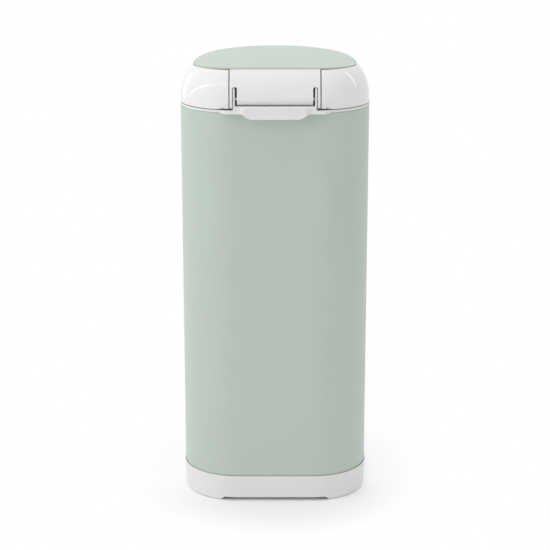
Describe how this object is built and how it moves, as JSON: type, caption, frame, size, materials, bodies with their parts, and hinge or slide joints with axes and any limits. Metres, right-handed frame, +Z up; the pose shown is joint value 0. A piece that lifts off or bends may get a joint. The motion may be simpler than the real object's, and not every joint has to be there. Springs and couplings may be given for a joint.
{
  "type": "nappy bin",
  "caption": "Pedal nappy bin with a straight painted steel body, a moulded base, a domed head that tips back and a hinged lid over a sprung odour clamp.",
  "frame": {"origin": "on the floor under the middle of the part's box, which is also the middle of the body's plan", "axes": "+Z up, -Y to the front where the pedal is, +Y to the back where the hinge is, X across"},
  "size_m": [0.2478, 0.273, 0.5852],
  "materials": {
    "sage_paint": "satin powder coat",
    "gloss_white": "glossy moulded ABS",
    "satin_white": "fine-grained moulded polypropylene",
    "inner_white": "moulded polypropylene",
    "grey_green": "moulded ABS",
    "soft_dark": "moulded rubber",
    "bright_steel": "drawn steel",
    "zinc_steel": "zinc-plated steel",
    "filter_carbon": "carbon-loaded foam",
    "cassette_plastic": "translucent moulded polypropylene"
  },
  "bodies": {
    "pail": {"body_sleeve": "sage_paint", "base_moulding": "satin_white", "mechanism_cover": "inner_white", "foot_pads": "soft_dark", "base_screws": "zinc_steel", "collar": "satin_white", "rod_guides": "inner_white", "hinge_pin": "bright_steel", "pedal_pin": "bright_steel", "pedal_spring": "bright_steel"},
    "pedal": {"pedal_lever": "zinc_steel", "pedal_pad": "satin_white"},
    "lift_rod": {"push_rod": "zinc_steel", "rod_cap": "soft_dark", "rod_foot": "soft_dark"},
    "head": {"head_dome": "gloss_white", "head_chute": "inner_white", "head_screws": "zinc_steel", "cassette_ring": "cassette_plastic", "clamp_housing": "inner_white", "housing_screws": "zinc_steel", "jaw_pins": "bright_steel", "jaw_springs": "bright_steel", "release_spring": "bright_steel"},
    "lid": {"lid_panel": "sage_paint", "lid_frame": "gloss_white", "lid_liner": "inner_white", "lid_seal": "soft_dark", "filter_cartridge": "filter_carbon", "filter_cover": "inner_white", "lid_screws": "zinc_steel"},
    "left_jaw": {"jaw_left": "grey_green", "jaw_lip_left": "soft_dark"},
    "right_jaw": {"jaw_right": "grey_green", "jaw_lip_right": "soft_dark"},
    "button": {"release_button": "grey_green"}
  },
  "joints": [
    {"name": "head_hinge", "type": "hinge", "parent": "pail", "child": "head", "pos_m": [0, 0.118, 0.5443], "axis": [1, 0, 0], "range_deg": [-80, 0]},
    {"name": "lid_hinge", "type": "hinge", "parent": "head", "child": "lid", "pos_m": [0, 0.118, 0.5443], "axis": [-1, 0, 0], "range_deg": [0, 78]},
    {"name": "rod_slide", "type": "slide", "parent": "pail", "child": "lift_rod", "axis": [0, 0, 1], "range_m": [0, 0.0246]},
    {"name": "pedal_hinge", "type": "hinge", "parent": "pail", "child": "pedal", "pos_m": [0, -0.042, 0.019], "axis": [1, 0, 0], "range_deg": [0, 9.86]},
    {"name": "left_jaw_hinge", "type": "hinge", "parent": "head", "child": "left_jaw", "pos_m": [-0.049, -0.012, 0.5172], "axis": [0, 1, 0], "range_deg": [0, 55], "stiffness_Nm_per_rad": 0.05, "springref_deg": -28.65},
    {"name": "right_jaw_hinge", "type": "hinge", "parent": "head", "child": "right_jaw", "pos_m": [0.049, -0.012, 0.5172], "axis": [0, -1, 0], "range_deg": [0, 55], "stiffness_Nm_per_rad": 0.05, "springref_deg": -28.65},
    {"name": "button_slide", "type": "slide", "parent": "head", "child": "button", "axis": [0, 1, 0], "range_m": [0, 0.004], "stiffness_N_per_m": 300, "springref_m": -0.004, "deforming": ["release_spring"]}
  ],
  "couplings": [
    {"joint": "rod_slide", "follows": "lid_hinge", "m_per_rad": 0.018},
    {"joint": "pedal_hinge", "follows": "lid_hinge", "ratio": 0.12644}
  ]
}
